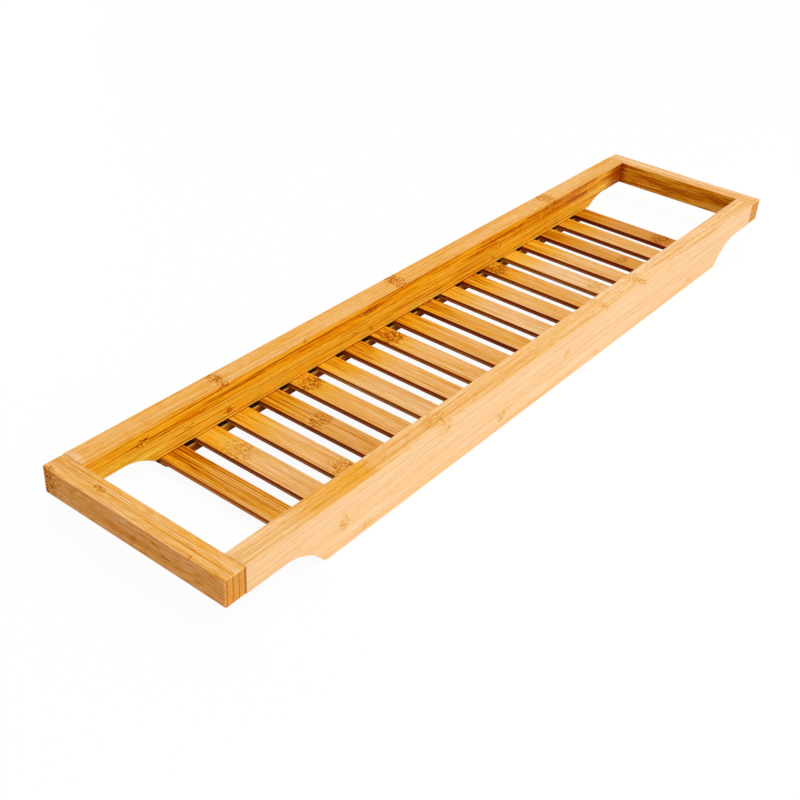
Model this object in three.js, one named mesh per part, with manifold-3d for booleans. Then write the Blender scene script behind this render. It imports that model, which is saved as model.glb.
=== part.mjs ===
// Bath rack of laminated bamboo.
// It lies across a bathtub: its shallow ends rest on the two rims, and its deeper middle hangs between the
// walls of the tub, with a slatted floor that lets the water through.
//
// Millimetres, +Z up. X runs along the rack, Y runs across it from the front rail to the back rail.
// The origin is under the middle of the rack, level with the undersides of the rails.

import * as THREE from 'three';
import { mergeVertices } from 'three/addons/utils/BufferGeometryUtils.js';
import Module from 'manifold-3d';

const wasm = await Module();
wasm.setup();

// The whole rack
const rack_length = 700;
const rack_width = 155;

// The two long side rails
const rail_height = 40;
const rail_thickness = 16.5;
const rail_edge_round = 1.2;

// The shallow ends that rest on the rims, and the curve that leads down from them
const end_height = 20;
const shoulder_distance = 49;
const shoulder_radius = 36;
const shoulder_steepest_turn = THREE.MathUtils.degToRad(47);
const toe_radius = 6;

// The two end bars
const bar_thickness = 16.5;
const bar_outer_round = 1.6;
const bar_inner_round = 0.8;
const bar_end_round = 0.6;

// The slatted floor and the groove that carries it
const slat_count = 18;
const slat_width = 20;
const slat_thickness = 4;
const slat_edge_round = 0.6;
const slat_row_inset = 1;
const groove_depth = 7;
const groove_lip_height = 6.5;

// The fluted dowels inside the four corner joints
const dowel_diameter = 6;
const dowel_in_rail = 15;
const dowel_chamfer = 0.8;
const dowel_flute_depth = 0.25;
const dowel_flute_count = 16;
const dowel_height_shares = { lower: 0.27, upper: 0.73 };
const hole_end_wall = 5;
const hole_end_space = 1;

// Fits
const glue_gap = 0.3;
const cut_overrun = 2;

// How finely curves are divided
const long_curve_steps = 6;
const edge_round_steps = 3;
const hole_sides = 24;

// Heights above the rails' undersides
const end_underside = rail_height - end_height;
const groove_height = slat_thickness + 2 * glue_gap;
const slat_underside = groove_lip_height + glue_gap;

// Places along the rack, measured from its middle
const bar_inner_face = rack_length / 2 - bar_thickness;
const rail_half_length = bar_inner_face - glue_gap;
const shoulder_x = rack_length / 2 - shoulder_distance;

// Places across the rack, measured from its middle
const rail_outer_face = rack_width / 2;
const rail_middle = rail_outer_face - rail_thickness / 2;
const slat_length = rack_width - 2 * (rail_thickness - groove_depth) - 2 * glue_gap;

// The lower edge of a rail leaves the shallow end on a hollow curve, drops on a straight slope and meets the
// underside on a small rounded toe. A low rail has no room for the slope, and its curves turn less.
const drop = rail_height - end_height;
const turn_with_no_slope = Math.acos(1 - Math.min(1, drop / (shoulder_radius + toe_radius)));
const shoulder_turn = Math.min(shoulder_steepest_turn, turn_with_no_slope);
const slope_top = end_underside - shoulder_radius * (1 - Math.cos(shoulder_turn));
const slope_foot = toe_radius * (1 - Math.cos(shoulder_turn));
const slope_run = (slope_top - slope_foot) / Math.tan(shoulder_turn);
const toe_x = shoulder_x - (shoulder_radius + toe_radius) * Math.sin(shoulder_turn) - slope_run;

// The holes for the dowels
const hole_radius = dowel_diameter / 2 + glue_gap;
const hole_in_bar = bar_thickness - hole_end_wall;
const hole_in_rail = dowel_in_rail + hole_end_space;
const dowel_in_bar = hole_in_bar - hole_end_space;
const dowel_length = dowel_in_bar + glue_gap + dowel_in_rail;
const dowel_heights = {
  lower: end_height * dowel_height_shares.lower,
  upper: end_height * dowel_height_shares.upper,
};

// A closed solid for cutting, from a three.js geometry
function to_solid(geometry) {
  const bare = geometry.clone();
  bare.deleteAttribute('normal');
  bare.deleteAttribute('uv');
  const merged = mergeVertices(bare);
  return new wasm.Manifold(new wasm.Mesh({
    numProp: 3,
    vertProperties: new Float32Array(merged.attributes.position.array),
    triVerts: new Uint32Array(merged.index.array),
  }));
}

// A three.js geometry from a closed solid
function to_geometry(solid) {
  const mesh = solid.getMesh();
  const geometry = new THREE.BufferGeometry();
  geometry.setAttribute('position', new THREE.BufferAttribute(mesh.vertProperties, 3));
  geometry.setIndex(new THREE.BufferAttribute(mesh.triVerts, 1));
  geometry.computeVertexNormals();
  return geometry;
}

// A rectangle round the middle, with each corner rounded by its own radius
function rounded_rectangle(width, height, rounds) {
  const right = width / 2;
  const top = height / 2;
  const quarter = Math.PI / 2;
  const outline = new THREE.Shape();
  outline.moveTo(-right + rounds.low_left, -top);
  outline.lineTo(right - rounds.low_right, -top);
  outline.absarc(right - rounds.low_right, -top + rounds.low_right, rounds.low_right, -quarter, 0);
  outline.absarc(right - rounds.top_right, top - rounds.top_right, rounds.top_right, 0, quarter);
  outline.absarc(-right + rounds.top_left, top - rounds.top_left, rounds.top_left, quarter, 2 * quarter);
  outline.absarc(-right + rounds.low_left, -top + rounds.low_left, rounds.low_left, 2 * quarter, 3 * quarter);
  return outline;
}

// The side view of a rail blank, which runs past both of the rail's ends
function rail_outline() {
  const blank_end = rail_half_length + cut_overrun;
  const quarter = Math.PI / 2;
  const shoulder_z = end_underside - shoulder_radius;
  const outline = new THREE.Shape();
  outline.moveTo(-blank_end, end_underside);
  outline.lineTo(-shoulder_x, end_underside);
  outline.absarc(-shoulder_x, shoulder_z, shoulder_radius, quarter, quarter - shoulder_turn, true);
  outline.absarc(-toe_x, toe_radius, toe_radius, -quarter - shoulder_turn, -quarter);
  outline.absarc(toe_x, toe_radius, toe_radius, -quarter, -quarter + shoulder_turn);
  outline.absarc(shoulder_x, shoulder_z, shoulder_radius, quarter + shoulder_turn, quarter, true);
  outline.lineTo(blank_end, end_underside);
  outline.lineTo(blank_end, rail_height);
  outline.lineTo(-blank_end, rail_height);
  outline.closePath();
  return outline;
}

// A blind hole along X, drilled from the plane x = 0 towards +X or -X
function drill(depth, direction, y, z) {
  const length = depth + cut_overrun;
  const bit = new THREE.CylinderGeometry(hole_radius, hole_radius, length, hole_sides);
  bit.rotateZ(Math.PI / 2);
  bit.translate(direction * (length / 2 - cut_overrun), y, z);
  return bit;
}

// A rail, with its inner face on +Y: the shaped blank with rounded edges, sawn square at both ends,
// ploughed with the groove for the slats along its whole length and drilled for the dowels.
function make_rail() {
  const blank = new THREE.ExtrudeGeometry(rail_outline(), {
    depth: rail_thickness - 2 * rail_edge_round,
    bevelThickness: rail_edge_round,
    bevelSize: rail_edge_round,
    bevelOffset: -rail_edge_round,
    bevelSegments: edge_round_steps,
    curveSegments: long_curve_steps,
  });
  blank.rotateX(Math.PI / 2);
  blank.translate(0, rail_thickness / 2 - rail_edge_round, 0);

  const sawn = new THREE.BoxGeometry(
    2 * rail_half_length, rail_thickness + 2 * cut_overrun, rail_height + 2 * cut_overrun);
  sawn.translate(0, 0, rail_height / 2);

  const plough = new THREE.BoxGeometry(
    2 * (rail_half_length + cut_overrun), groove_depth + cut_overrun, groove_height);
  plough.translate(
    0, (rail_thickness - groove_depth + cut_overrun) / 2, groove_lip_height + groove_height / 2);

  let rail = to_solid(blank).intersect(to_solid(sawn)).subtract(to_solid(plough));
  for (const height of Object.values(dowel_heights)) {
    for (const side of [-1, 1]) {
      const bit = drill(hole_in_rail, -side, 0, end_underside + height);
      bit.translate(side * rail_half_length, 0, 0);
      rail = rail.subtract(to_solid(bit));
    }
  }
  return to_geometry(rail);
}

// An end bar, with its inner face on +X: a bar with rounded edges and four holes for the dowels
function make_end_bar() {
  const section = rounded_rectangle(bar_thickness, end_height, {
    low_left: bar_outer_round,
    top_left: bar_outer_round,
    low_right: bar_inner_round,
    top_right: bar_inner_round,
  });
  const blank = new THREE.ExtrudeGeometry(section, {
    depth: rack_width - 2 * bar_end_round,
    bevelThickness: bar_end_round,
    bevelSize: bar_end_round,
    bevelOffset: -bar_end_round,
    bevelSegments: edge_round_steps,
    curveSegments: edge_round_steps,
  });
  blank.rotateX(Math.PI / 2);
  blank.translate(0, rack_width / 2 - bar_end_round, end_height / 2);

  let bar = to_solid(blank);
  for (const height of Object.values(dowel_heights)) {
    for (const y of [-rail_middle, rail_middle]) {
      const bit = drill(hole_in_bar, -1, y, height);
      bit.translate(bar_thickness / 2, 0, 0);
      bar = bar.subtract(to_solid(bit));
    }
  }
  return to_geometry(bar);
}

// A slat along Y, its underside on z = 0
function make_slat() {
  const section = rounded_rectangle(slat_width, slat_thickness, {
    low_left: slat_edge_round,
    top_left: slat_edge_round,
    low_right: slat_edge_round,
    top_right: slat_edge_round,
  });
  const slat = new THREE.ExtrudeGeometry(section, {
    depth: slat_length,
    bevelEnabled: false,
    curveSegments: edge_round_steps,
  });
  slat.rotateX(Math.PI / 2);
  slat.translate(0, slat_length / 2, slat_thickness / 2);
  return slat;
}

// A dowel along X: a fluted pin with both of its ends turned to a chamfer
function make_dowel() {
  const radius = dowel_diameter / 2;
  const flutes = new THREE.Shape();
  for (let i = 0; i < 2 * dowel_flute_count; i += 1) {
    const reach = i % 2 === 0 ? radius : radius - dowel_flute_depth;
    const angle = i * Math.PI / dowel_flute_count;
    const x = reach * Math.cos(angle);
    const y = reach * Math.sin(angle);
    if (i === 0) flutes.moveTo(x, y);
    else flutes.lineTo(x, y);
  }
  flutes.closePath();
  const pin = new THREE.ExtrudeGeometry(flutes, {
    depth: dowel_length + 2 * cut_overrun,
    bevelEnabled: false,
  });
  pin.translate(0, 0, -dowel_length / 2 - cut_overrun);
  pin.rotateY(Math.PI / 2);

  const turned = new THREE.LatheGeometry([
    new THREE.Vector2(0, -dowel_length / 2),
    new THREE.Vector2(radius - dowel_chamfer, -dowel_length / 2),
    new THREE.Vector2(radius + glue_gap / 2, -dowel_length / 2 + dowel_chamfer),
    new THREE.Vector2(radius + glue_gap / 2, dowel_length / 2 - dowel_chamfer),
    new THREE.Vector2(radius - dowel_chamfer, dowel_length / 2),
    new THREE.Vector2(0, dowel_length / 2),
  ], hole_sides);
  turned.rotateZ(-Math.PI / 2);
  return to_geometry(to_solid(pin).intersect(to_solid(turned)));
}

// Finishes
const finishes = {
  rail: { color: 0xe3b273, roughness: 0.5 },
  end_bar: { color: 0xdca661, roughness: 0.5 },
  slat: { color: 0xd59a50, roughness: 0.5 },
  dowel: { color: 0xe0c59a, roughness: 0.7 },
};

function make_piece(name, geometry, finish) {
  const material = new THREE.MeshStandardMaterial({ ...finish, metalness: 0 });
  const piece = new THREE.Mesh(geometry, material);
  piece.name = name;
  return piece;
}

// The back rail is a front rail turned round, so that both grooves face the slats.
function make_rails() {
  const geometry = make_rail();
  const rails = new THREE.Group();
  const front = make_piece('front_rail', geometry, finishes.rail);
  const back = make_piece('back_rail', geometry, finishes.rail);
  front.position.y = -rail_middle;
  back.position.y = rail_middle;
  back.rotation.z = Math.PI;
  rails.add(front, back);
  return rails;
}

// The right end bar is a left one turned round, so that both sets of holes face the rails.
function make_end_bars() {
  const geometry = make_end_bar();
  const bar_middle = rack_length / 2 - bar_thickness / 2;
  const bars = new THREE.Group();
  const left = make_piece('left_end_bar', geometry, finishes.end_bar);
  const right = make_piece('right_end_bar', geometry, finishes.end_bar);
  left.position.set(-bar_middle, 0, end_underside);
  right.position.set(bar_middle, 0, end_underside);
  right.rotation.z = Math.PI;
  bars.add(left, right);
  return bars;
}

// Each dowel fills the hole in its rail but for the space at its end, and crosses the joint into the bar.
function make_dowels() {
  const geometry = make_dowel();
  const dowel_middle = rail_half_length - dowel_in_rail + dowel_length / 2;
  const dowels = new THREE.Group();
  for (const [end, x] of [['left', -dowel_middle], ['right', dowel_middle]]) {
    for (const [rail, y] of [['front', -rail_middle], ['back', rail_middle]]) {
      for (const [level, height] of Object.entries(dowel_heights)) {
        const dowel = make_piece(`dowel_${end}_${rail}_${level}`, geometry, finishes.dowel);
        dowel.position.set(x, y, end_underside + height);
        dowels.add(dowel);
      }
    }
  }
  return dowels;
}

// How far from the rack's middle the lower edge of a rail passes a height on its way to the shoulder
function lower_edge_reach(height) {
  if (height >= slope_top) {
    const rise = height - end_underside + shoulder_radius;
    return shoulder_x - Math.sqrt(shoulder_radius ** 2 - rise ** 2);
  }
  if (height >= slope_foot) {
    return toe_x + toe_radius * Math.sin(shoulder_turn) + (height - slope_foot) / Math.tan(shoulder_turn);
  }
  return toe_x + Math.sqrt(toe_radius ** 2 - (toe_radius - height) ** 2);
}

// The slats share out the length of the groove's lip, with equal gaps between them.
function make_floor() {
  const geometry = make_slat();
  const lip_end = lower_edge_reach(Math.min(groove_lip_height, end_underside));
  const row_length = 2 * (lip_end - slat_row_inset);
  const pitch = (row_length - slat_width) / (slat_count - 1);
  const floor = new THREE.Group();
  for (let i = 0; i < slat_count; i += 1) {
    const number = String(i + 1).padStart(2, '0');
    const slat = make_piece(`slat_${number}`, geometry, finishes.slat);
    slat.position.x = (slat_width - row_length) / 2 + i * pitch;
    floor.add(slat);
  }
  floor.position.z = slat_underside;
  return floor;
}

const bath_rack = new THREE.Group();
bath_rack.add(make_rails(), make_end_bars(), make_dowels(), make_floor());

export default bath_rack;
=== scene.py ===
"""A bath rack of laminated bamboo: its pieces with eased edges, their finishes, and a white floor."""

import math
from functools import reduce

import bmesh
import bpy
from mathutils import Euler, Matrix, Vector


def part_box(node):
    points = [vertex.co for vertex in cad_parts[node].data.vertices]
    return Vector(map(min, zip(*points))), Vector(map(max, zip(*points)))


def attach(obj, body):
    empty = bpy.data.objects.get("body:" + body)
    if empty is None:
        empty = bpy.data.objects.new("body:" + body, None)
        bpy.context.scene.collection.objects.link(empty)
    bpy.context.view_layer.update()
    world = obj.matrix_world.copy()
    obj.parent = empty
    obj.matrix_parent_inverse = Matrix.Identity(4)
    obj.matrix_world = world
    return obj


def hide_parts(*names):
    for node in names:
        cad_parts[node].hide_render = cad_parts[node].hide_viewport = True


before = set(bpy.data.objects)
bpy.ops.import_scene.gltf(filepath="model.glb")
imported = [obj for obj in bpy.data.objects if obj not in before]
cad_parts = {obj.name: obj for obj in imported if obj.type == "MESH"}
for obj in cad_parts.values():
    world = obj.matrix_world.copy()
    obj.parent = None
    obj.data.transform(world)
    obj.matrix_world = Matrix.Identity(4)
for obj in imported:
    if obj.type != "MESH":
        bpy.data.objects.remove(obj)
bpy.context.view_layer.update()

MM = 0.001

# Boxes of the pieces in the frame
RAIL_LOW, RAIL_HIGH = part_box("front_rail")
BAR_LOW, BAR_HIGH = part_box("left_end_bar")
SLAT_LOW, SLAT_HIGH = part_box("slat_01")
SLAT_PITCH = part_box("slat_02")[0].x - SLAT_LOW.x
SLAT_COUNT = sum(name.startswith("slat_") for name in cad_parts)

# The rails: a shallow end, then an S-curve down to the full height
GLUE_LINE = 0.05 * MM
RAIL_HALF_LENGTH = -BAR_HIGH.x - GLUE_LINE
RAIL_THICKNESS = RAIL_HIGH.y - RAIL_LOW.y
RAIL_TOP = RAIL_HIGH.z
RAIL_OUTER = -RAIL_LOW.y
RAIL_INNER = -RAIL_HIGH.y
END_UNDERSIDE = BAR_LOW.z
SHOULDER = 301 * MM
SHOULDER_RADIUS = 36 * MM
TOE_RADIUS = 6 * MM
CURVE_TURN = math.radians(47)
SHOULDER_STEPS = 20
TOE_STEPS = 8
RAIL_ROUND = 1.2 * MM
ROUND_STEPS = 4

# The groove for the slats, ploughed into each rail's inner face
GROOVE_DEPTH = 7 * MM
GROOVE_FLOOR = 6.5 * MM
GROOVE_ROOF = 11.1 * MM

# The end bars' edges, the rounder ones outside and the upright ones at the back the roundest
BAR_CORNER_ROUND = 2.2 * MM
BAR_OUTER_ROUND = 1.3 * MM
BAR_INNER_ROUND = 0.3 * MM
BAR_END_ROUND = 0.9 * MM

# The slats' edges
SLAT_ROUND = 0.5 * MM

# The blind holes for the dowels
HOLE_RADIUS = 3.3 * MM
HOLE_IN_RAIL = 16 * MM
HOLE_IN_BAR = 11.5 * MM
HOLE_SIDES = 32
DOWEL_LOW, DOWEL_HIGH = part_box("dowel_left_front_lower")
UPPER_DOWEL_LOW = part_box("dowel_left_front_upper")[0]
HOLE_OFFSET = -(DOWEL_LOW.y + DOWEL_HIGH.y) / 2
LOWER_HOLE = (DOWEL_LOW.z + DOWEL_HIGH.z) / 2
UPPER_HOLE = LOWER_HOLE + UPPER_DOWEL_LOW.z - DOWEL_LOW.z

CUT_OVERRUN = 2 * MM
NEAR = 0.01 * MM
SMOOTH_ANGLE = math.radians(40)
DOWNWARD = -0.9
ROUND_PROFILE = 0.5


# Modelling helpers

def new_box(name, first, second):
    """A box between two opposite corners, in edit mode, with its place in its mesh."""
    bpy.ops.object.select_all(action="DESELECT")
    bpy.ops.mesh.primitive_cube_add(size=1, location=(0, 0, 0), enter_editmode=True)
    box = bpy.context.object
    box.name = name
    box.data.name = name
    sides = [abs(side) for side in second - first]
    bpy.ops.transform.resize(value=sides, center_override=(0, 0, 0))
    bpy.ops.transform.translate(value=(first + second) / 2)
    return box


def select_faces(piece, is_wanted):
    """Selects the faces whose middle and normal are wanted."""
    bpy.ops.mesh.select_mode(type="FACE")
    mesh = bmesh.from_edit_mesh(piece.data)
    for face in mesh.faces:
        face.select_set(is_wanted(face.calc_center_median(), face.normal))
    mesh.select_flush_mode()
    bmesh.update_edit_mesh(piece.data)


def select_edges(piece, is_wanted):
    """Selects the edges whose two ends are wanted."""
    bpy.ops.mesh.select_mode(type="EDGE")
    mesh = bmesh.from_edit_mesh(piece.data)
    for edge in mesh.edges:
        edge.select_set(is_wanted(edge.verts[0].co, edge.verts[1].co))
    mesh.select_flush_mode()
    bmesh.update_edit_mesh(piece.data)


def near(first, second):
    return abs(first - second) < NEAR


def select_only(piece):
    """Makes a piece the active object, and the only one selected."""
    bpy.ops.object.select_all(action="DESELECT")
    piece.select_set(True)
    bpy.context.view_layer.objects.active = piece


def apply_modifier(piece, kind, **settings):
    """Adds a modifier to a piece and applies it."""
    select_only(piece)
    modifier = piece.modifiers.new(kind.lower(), kind)
    for name, value in settings.items():
        setattr(modifier, name, value)
    bpy.ops.object.modifier_apply(modifier=modifier.name)


def round_marked_edges(piece, widest):
    """Rounds the edges by their bevel weights and marks the new faces as the arris."""
    piece.data.materials.append(None)
    piece.data.materials.append(None)
    apply_modifier(piece, "BEVEL", limit_method="WEIGHT", width=widest, segments=ROUND_STEPS, material=1)
    arris = piece.data.attributes.new("arris", "FLOAT", "FACE")
    for face in piece.data.polygons:
        arris.data[face.index].value = float(face.material_index == 1)
        face.material_index = 0
    piece.data.materials.clear()


def cut_away(piece, cutter):
    """Cuts a shape out of a piece and deletes the shape."""
    apply_modifier(piece, "BOOLEAN", operation="DIFFERENCE", solver="EXACT", object=cutter)
    bpy.data.objects.remove(cutter)


def drill_pair(piece, mouth_x, depth, across):
    """Two blind holes along X, one above the other, from the face at mouth_x by a signed depth."""
    overrun = math.copysign(CUT_OVERRUN, depth)
    for height in (LOWER_HOLE, UPPER_HOLE):
        bpy.ops.object.select_all(action="DESELECT")
        bpy.ops.mesh.primitive_cylinder_add(
            vertices=HOLE_SIDES,
            radius=HOLE_RADIUS,
            depth=abs(depth) + CUT_OVERRUN,
            location=(mouth_x + (depth - overrun) / 2, across, height),
            rotation=(0, math.pi / 2, 0),
        )
        cut_away(piece, bpy.context.object)


def settle(piece):
    """Shades the rounds smoothly and leaves the faces beside them flat."""
    select_only(piece)
    bpy.ops.object.shade_smooth_by_angle(angle=SMOOTH_ANGLE)
    apply_modifier(piece, "WEIGHTED_NORMAL", keep_sharp=True)


# The rails

def make_rail(name, side):
    """A rail on side -1 (front) or 1 (back): shaped below, grooved inside and drilled at both ends."""
    below = Vector((-RAIL_HALF_LENGTH, side * RAIL_INNER, END_UNDERSIDE))
    above = Vector((RAIL_HALF_LENGTH, side * RAIL_OUTER, RAIL_TOP))
    rail = new_box(name, below, above)
    shape_underside(rail)
    select_edges(rail, lambda a, b: near(a.y, b.y))
    bpy.ops.transform.edge_bevelweight(value=1)
    select_edges(rail, lambda a, b: near(a.y, b.y) and near(a.x, b.x) and near(abs(a.x), RAIL_HALF_LENGTH))
    bpy.ops.transform.edge_bevelweight(value=-1)
    bpy.ops.object.mode_set(mode="OBJECT")
    round_marked_edges(rail, RAIL_ROUND)
    plough_groove(rail, side)
    for end in (-1, 1):
        drill_pair(rail, end * RAIL_HALF_LENGTH, -end * HOLE_IN_RAIL, side * HOLE_OFFSET)
    settle(rail)
    return rail


def shape_underside(rail):
    """Draws the middle of the underside down and rounds its two corners at each end into an S-curve."""
    corner = SHOULDER - SHOULDER_RADIUS * math.tan(CURVE_TURN / 2)
    foot = corner - END_UNDERSIDE / math.tan(CURVE_TURN)
    for x in (-corner, corner):
        bpy.ops.mesh.select_all(action="SELECT")
        bpy.ops.mesh.bisect(plane_co=(x, 0, 0), plane_no=(1, 0, 0))
    select_faces(rail, lambda middle, normal: near(middle.x, 0) and normal.z < DOWNWARD)
    bpy.ops.mesh.extrude_region_move(TRANSFORM_OT_translate={"value": (0, 0, -END_UNDERSIDE)})
    bpy.ops.transform.resize(value=(foot / corner, 1, 1), center_override=(0, 0, 0))
    select_edges(rail, lambda a, b: near(a.x, b.x) and near(abs(a.x), corner)
                 and max(a.z, b.z) > END_UNDERSIDE + NEAR)
    bpy.ops.mesh.dissolve_edges()
    for x, z, radius, steps in ((corner, END_UNDERSIDE, SHOULDER_RADIUS, SHOULDER_STEPS),
                                (foot, 0, TOE_RADIUS, TOE_STEPS)):
        select_edges(rail, lambda a, b: near(abs(a.x), x) and near(a.x, b.x)
                     and near(a.z, z) and near(b.z, z))
        offset = radius * math.tan(CURVE_TURN / 2)
        bpy.ops.mesh.bevel(offset=offset, segments=steps, profile=ROUND_PROFILE)


def plough_groove(rail, side):
    """The groove along the whole inner face, running out through both S-curves."""
    below = Vector((-RAIL_HALF_LENGTH, side * (RAIL_INNER - CUT_OVERRUN), GROOVE_FLOOR))
    above = Vector((RAIL_HALF_LENGTH, side * (RAIL_INNER + GROOVE_DEPTH), GROOVE_ROOF))
    cutter = new_box("plough", below, above)
    bpy.ops.object.mode_set(mode="OBJECT")
    cut_away(rail, cutter)


# The end bars

def make_end_bar(name, end):
    """An end bar at end -1 (left) or 1 (right), rounder outside, with four holes for the dowels."""
    outer, inner = -end * BAR_LOW.x, -end * BAR_HIGH.x
    bar = new_box(name, Vector((outer, *BAR_LOW.yz)), Vector((inner, *BAR_HIGH.yz)))
    rounds = (
        (BAR_OUTER_ROUND, lambda a, b: near(a.x, b.x) and near(a.x, outer)),
        (BAR_CORNER_ROUND, lambda a, b: near(a.x, outer) and not near(a.z, b.z) and near(a.y, BAR_HIGH.y)),
        (BAR_INNER_ROUND, lambda a, b: near(a.x, b.x) and near(a.x, inner) and near(a.z, b.z)),
        (BAR_END_ROUND, lambda a, b: near(a.y, b.y) and not near(a.x, b.x)),
    )
    for radius, is_wanted in rounds:
        select_edges(bar, is_wanted)
        bpy.ops.transform.edge_bevelweight(value=radius / BAR_CORNER_ROUND)
    bpy.ops.object.mode_set(mode="OBJECT")
    round_marked_edges(bar, BAR_CORNER_ROUND)
    for across in (-HOLE_OFFSET, HOLE_OFFSET):
        drill_pair(bar, inner, end * HOLE_IN_BAR, across)
    settle(bar)
    return bar


# The slats

def make_slats():
    """One slat with eased edges, copied along the rack."""
    first = new_box("slat_01_bamboo", SLAT_LOW, SLAT_HIGH)
    bpy.ops.mesh.select_all(action="SELECT")
    bpy.ops.transform.edge_bevelweight(value=1)
    bpy.ops.object.mode_set(mode="OBJECT")
    round_marked_edges(first, SLAT_ROUND)
    settle(first)
    slats = [first]
    for number in range(1, SLAT_COUNT):
        slat = first.copy()
        slat.data = first.data.copy()
        slat.name = f"slat_{number + 1:02d}_bamboo"
        slat.data.name = slat.name
        slat.data.transform(Matrix.Translation((number * SLAT_PITCH, 0, 0)))
        bpy.context.scene.collection.objects.link(slat)
        slats.append(slat)
    return slats


# Shader helpers

NODE_SPACING = 180
NOISE_MIDDLE = 0.5
RISING = (0, 1)
FALLING = (1, 0)

# The curve from display colours to linear ones
CURVE_KNEE = 0.04045
CURVE_FOOT_SLOPE = 12.92
CURVE_OFFSET = 0.055
CURVE_POWER = 2.4


def colour(red, green, blue):
    """A display colour, 0 to 255, as the linear colour that a shader takes."""
    def linear(value):
        share = value / 255
        if share <= CURVE_KNEE:
            return share / CURVE_FOOT_SLOPE
        return ((share + CURVE_OFFSET) / (1 + CURVE_OFFSET)) ** CURVE_POWER
    return (linear(red), linear(green), linear(blue), 1)


class Shade:
    """Adds nodes to one shader tree, each to the right of the last."""

    def __init__(self, tree):
        self.tree = tree

    def add(self, kind, inputs=None, **settings):
        made = self.tree.nodes.new("ShaderNode" + kind)
        made.location.x = NODE_SPACING * len(self.tree.nodes)
        for name, value in settings.items():
            setattr(made, name, value)
        for socket, value in (inputs or {}).items():
            self.feed(value, made.inputs[socket])
        return made

    def feed(self, value, socket):
        if isinstance(value, bpy.types.NodeSocket):
            self.tree.links.new(value, socket)
        else:
            socket.default_value = value

    def group(self, group, inputs):
        return self.add("Group", inputs, node_tree=group).outputs

    def math(self, operation, *values):
        return self.add("Math", dict(enumerate(values)), operation=operation).outputs[0]

    def sum(self, *values):
        return reduce(lambda total, value: self.math("ADD", total, value), values)

    def minus(self, first, second):
        return self.math("SUBTRACT", first, second)

    def times(self, *values):
        return reduce(lambda total, value: self.math("MULTIPLY", total, value), values)

    def between(self, share, low, high):
        """A value from low, where the share is 0, to high, where it is 1."""
        return self.math("MULTIPLY_ADD", share, high - low, low)

    def vector(self, operation, *values):
        return self.add("VectorMath", dict(enumerate(values)), operation=operation).outputs[0]

    def parts(self, vector):
        return self.add("SeparateXYZ", {0: vector}).outputs

    def point(self, x, y, z):
        return self.add("CombineXYZ", {0: x, 1: y, 2: z}).outputs[0]

    def distance(self, place, middle, reach):
        """How far a place is from a middle, counted in reaches along each axis."""
        away = self.vector("DIVIDE", self.vector("SUBTRACT", place, middle), reach)
        return self.add("VectorMath", {0: away}, operation="LENGTH").outputs["Value"]

    def noise(self, place, size, detail=2, roughness=0.5, output="Fac"):
        """Noise with blotches of that size, in metres, along each axis."""
        scaled = self.vector("DIVIDE", place, size)
        inputs = {"Vector": scaled, "Scale": 1, "Detail": detail, "Roughness": roughness}
        return self.add("TexNoise", inputs).outputs[output]

    def sway(self, place, size, reach):
        """A push that wanders to and fro with blotches of that size, by up to half the reach."""
        noise = self.noise(place, size, output="Color")
        return self.vector("MULTIPLY", self.vector("SUBTRACT", noise, (NOISE_MIDDLE,) * 3), reach)

    def spread(self, value, edge, ends=RISING):
        """A smooth step between the two places of an edge, from its first end value to its second."""
        inputs = dict(enumerate((value, *edge, *ends)))
        return self.add("MapRange", inputs, interpolation_type="SMOOTHSTEP").outputs[0]

    def blend(self, share, first, second, mode="MIX"):
        inputs = {0: share, 6: first, 7: second}
        return self.add("Mix", inputs, data_type="RGBA", blend_type=mode).outputs[2]

    def darken(self, share, tint, let_through):
        """A tint seen through a filter, as far as the share says."""
        return self.blend(share, tint, let_through, mode="MULTIPLY")

    def ramp(self, share, stops, interpolation="LINEAR"):
        """A colour that changes with a share from 0 to 1, through (share, colour) stops."""
        made = self.add("ValToRGB", {0: share})
        made.color_ramp.interpolation = interpolation
        elements = made.color_ramp.elements
        for place, _ in stops[2:]:
            elements.new(place)
        for element, (place, tint) in zip(elements, stops):
            element.position = place
            element.color = tint
        return made.outputs["Color"]

    def follow(self, share, stops, interpolation="EASE"):
        """A value that changes with a share from 0 to 1, through (share, value) stops."""
        greys = [(place, (value, value, value, 1)) for place, value in stops]
        return self.ramp(share, greys, interpolation)


# The kinds of the groups' sockets that are not plain values
SOCKET_KINDS = {
    **dict.fromkeys(("Place", "Own Place", "Swirled Place", "Middle", "Reach"), "NodeSocketVector"),
    **dict.fromkeys(("Tint", "Color"), "NodeSocketColor"),
}


class Group(Shade):
    """Builds a shader group from the sockets that it takes."""

    def __init__(self, name, *inputs):
        super().__init__(bpy.data.node_groups.new(name, "ShaderNodeTree"))
        self.add_sockets("INPUT", inputs)
        self.taken = self.tree.nodes.new("NodeGroupInput").outputs

    def add_sockets(self, in_out, names):
        for name in names:
            kind = SOCKET_KINDS.get(name, "NodeSocketFloat")
            self.tree.interface.new_socket(name, in_out=in_out, socket_type=kind)

    def give(self, values):
        """The finished group, which gives these values."""
        self.add_sockets("OUTPUT", values)
        given = self.tree.nodes.new("NodeGroupOutput").inputs
        for name, value in values.items():
            self.feed(value, given[name])
        return self.tree


# Shared effects of bamboo
# A grain place is (along the fibres, across the strip, through its thickness), in metres

def mark_size(along, across):
    """The size of a mark, from millimetres along the fibres and across them."""
    return (along * MM, across * MM, across * MM)


# The strips: how far apart their stretches of grain are taken, and the glue between them
STRIP_SHIFT = 3.0
HALF_STRIP = 0.5
GLUE_LINE_EDGE = (0.1 * MM, 0.42 * MM)
SEAM_SIZE = mark_size(60, 9)
SEAM_RANGE = (0.4, 0.56)
SEAM_ENDS = (0.25, 1)


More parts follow.
